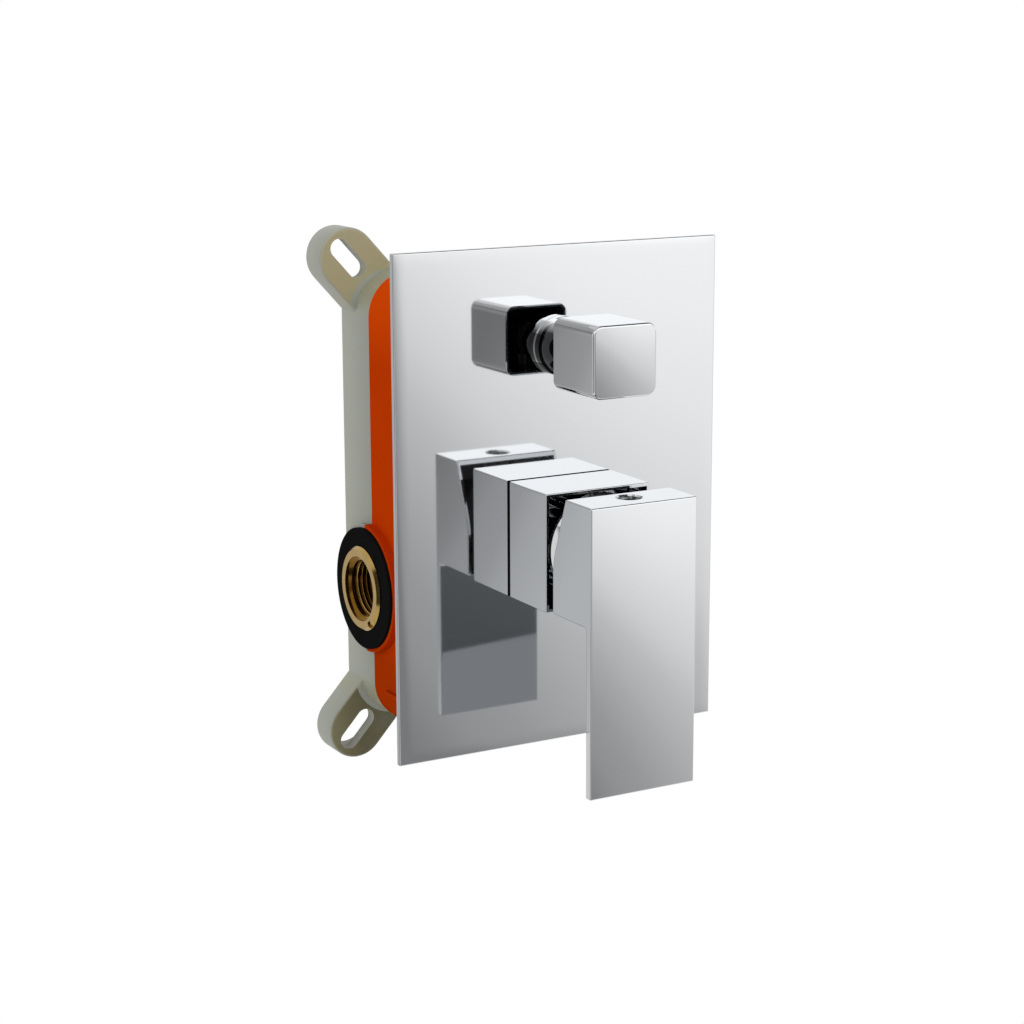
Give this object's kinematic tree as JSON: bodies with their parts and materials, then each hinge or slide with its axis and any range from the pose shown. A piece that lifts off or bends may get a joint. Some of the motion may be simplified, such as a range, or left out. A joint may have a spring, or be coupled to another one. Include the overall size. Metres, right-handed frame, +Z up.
{
  "type": "concealed shower mixer",
  "caption": "Wall-concealed shower mixer: plastic box with threaded brass body, chrome face plate, square lever for flow and temperature, square knob that turns a diverter",
  "frame": {"origin": "centre of the back face of the concealed box, where it meets the wall recess", "axes": "+Z up, +Y into the wall, the lever and the plate face -Y, +X to the right as seen from the room"},
  "size_m": [0.137, 0.1195, 0.197],
  "materials": {
    "box_plastic": "off-white moulded nylon, faintly satin",
    "housing_plastic": "orange moulded plastic, satin",
    "steel": "bright zinc-plated steel",
    "brass": "machined and cast brass",
    "rubber": "black rubber, matte",
    "cartridge_plastic": "grey-white engineering plastic",
    "ceramic": "polished white ceramic",
    "chrome": "polished chrome plating"
  },
  "bodies": {
    "root": {"rear_box": "box_plastic", "front_housing": "housing_plastic", "housing_screws": "steel", "valve_body": "brass", "body_screws": "steel", "left_inlet_bush": "brass", "right_inlet_bush": "brass", "top_outlet_bush": "brass", "bottom_outlet_bush": "brass", "left_inlet_seal": "rubber", "right_inlet_seal": "rubber", "top_outlet_seal": "rubber", "bottom_outlet_seal": "rubber", "cartridge_housing": "cartridge_plastic", "cartridge_base": "cartridge_plastic", "base_seals": "rubber", "fixed_disc": "ceramic", "cartridge_lock_nut": "brass", "dome_cap": "chrome", "handle_sleeve": "chrome", "sleeve_gasket": "rubber", "sleeve_o_ring": "rubber", "face_plate": "chrome", "plate_gasket": "rubber", "diverter_housing": "brass", "diverter_fixed_disc": "ceramic", "diverter_base_seal": "rubber", "diverter_nut": "brass", "diverter_neck": "chrome"},
    "swivel": {"stem_carrier": "cartridge_plastic", "pivot_pin": "steel"},
    "lever": {"lever_handle": "chrome", "mixing_stem": "brass", "lever_set_screw": "steel"},
    "disc": {"disc_slide": "cartridge_plastic", "moving_disc": "ceramic"},
    "diverter": {"diverter_knob": "chrome", "diverter_spindle": "brass", "diverter_moving_disc": "ceramic", "knob_set_screw": "steel"}
  },
  "joints": [
    {"name": "temperature_swivel", "type": "hinge", "parent": "root", "child": "swivel", "pos_m": [0, -0.082, -0.009], "axis": [0, 1, 0], "range_deg": [-45, 45]},
    {"name": "lever_tilt", "type": "hinge", "parent": "swivel", "child": "lever", "pos_m": [0, -0.082, -0.009], "axis": [-1, 0, 0], "range_deg": [0, 25]},
    {"name": "disc_shift", "type": "slide", "parent": "swivel", "child": "disc", "axis": [0, 0, -1], "range_m": [0, 0.0043]},
    {"name": "diverter_turn", "type": "hinge", "parent": "root", "child": "diverter", "pos_m": [0, -0.0932, 0.0585], "axis": [0, 1, 0], "range_deg": [0, 90]}
  ],
  "couplings": [
    {"joint": "disc_shift", "follows": "lever_tilt", "m_per_rad": 0.009686}
  ]
}
